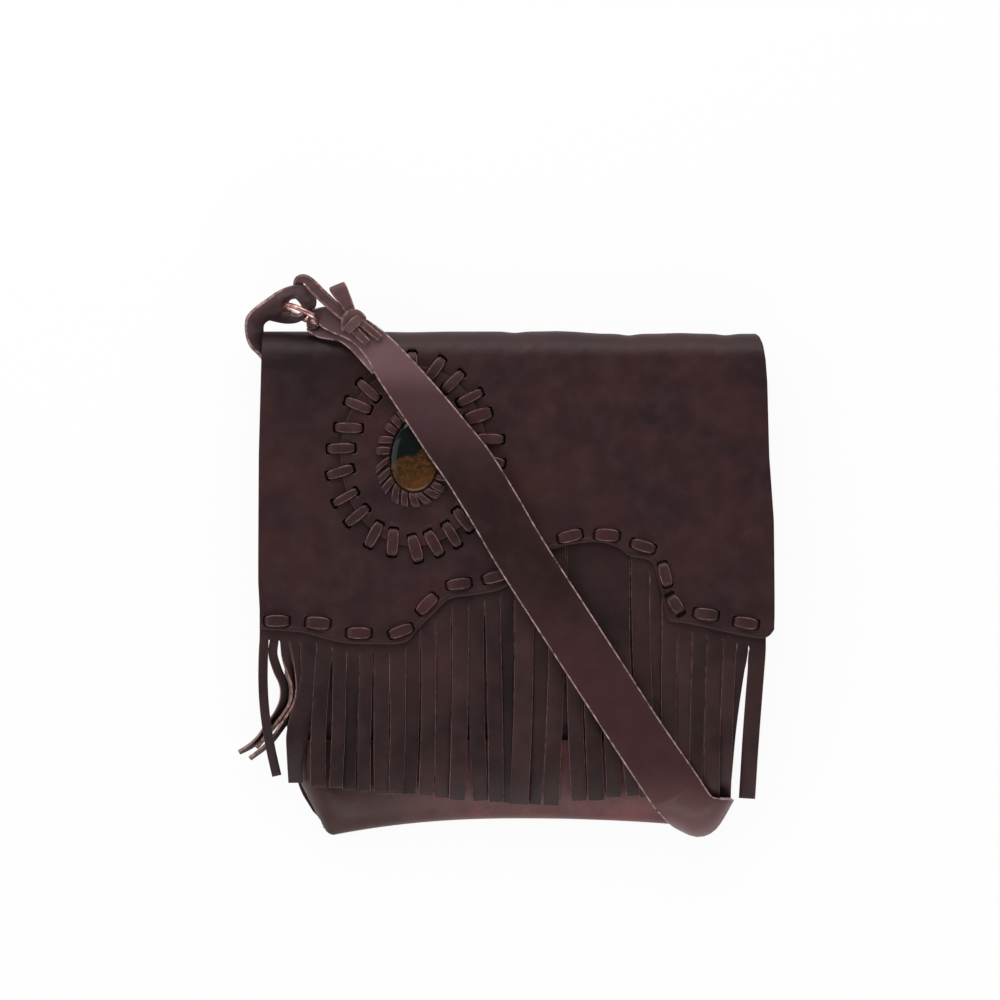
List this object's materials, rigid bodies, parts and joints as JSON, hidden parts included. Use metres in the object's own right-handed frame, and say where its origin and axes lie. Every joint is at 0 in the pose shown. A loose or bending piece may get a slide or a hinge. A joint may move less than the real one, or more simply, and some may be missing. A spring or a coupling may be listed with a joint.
{
  "type": "fringed leather shoulder bag",
  "caption": "Soft leather shoulder bag with a laced, fringed flap, an oval patch round a polished stone, and a strap doubled through a metal ring.",
  "frame": {"origin": "on the flat outer side of the back, in the middle of the bag's width, 137.6 mm below its top fold", "axes": "+Z out of the front of the bag, away from the back; +Y towards the top fold; +X to the right as the front is looked at"},
  "size_m": [0.2935, 0.3063, 0.0393],
  "materials": {
    "bag_leather": "smooth, dull satin, dark brown",
    "fringe_leather": "smooth, dull, darker brown, raw edges",
    "lace_leather": "flat lacing, satin",
    "strap_leather": "smooth, satin, paler raw edges",
    "stone": "polished",
    "ring_metal": "polished, copper-coloured"
  },
  "bodies": {
    "bag": {"back_and_flap": "bag_leather", "front_panel": "bag_leather", "bottom_panel": "bag_leather", "fringe": "fringe_leather", "edge_lace": "lace_leather", "medallion_patch": "bag_leather", "medallion_lace": "lace_leather", "bezel_lace": "lace_leather", "stone": "stone", "shoulder_strap": "strap_leather", "ring_tab": "strap_leather", "tie_lace": "lace_leather"},
    "ring": {"strap_ring": "ring_metal"}
  },
  "joints": [
    {"name": "ring_spin", "type": "hinge", "parent": "bag", "child": "ring", "pos_m": [-0.1185, 0.147, 0.026], "axis": [-0.4395, -0.8777, 0.1908], "continuous": true}
  ]
}
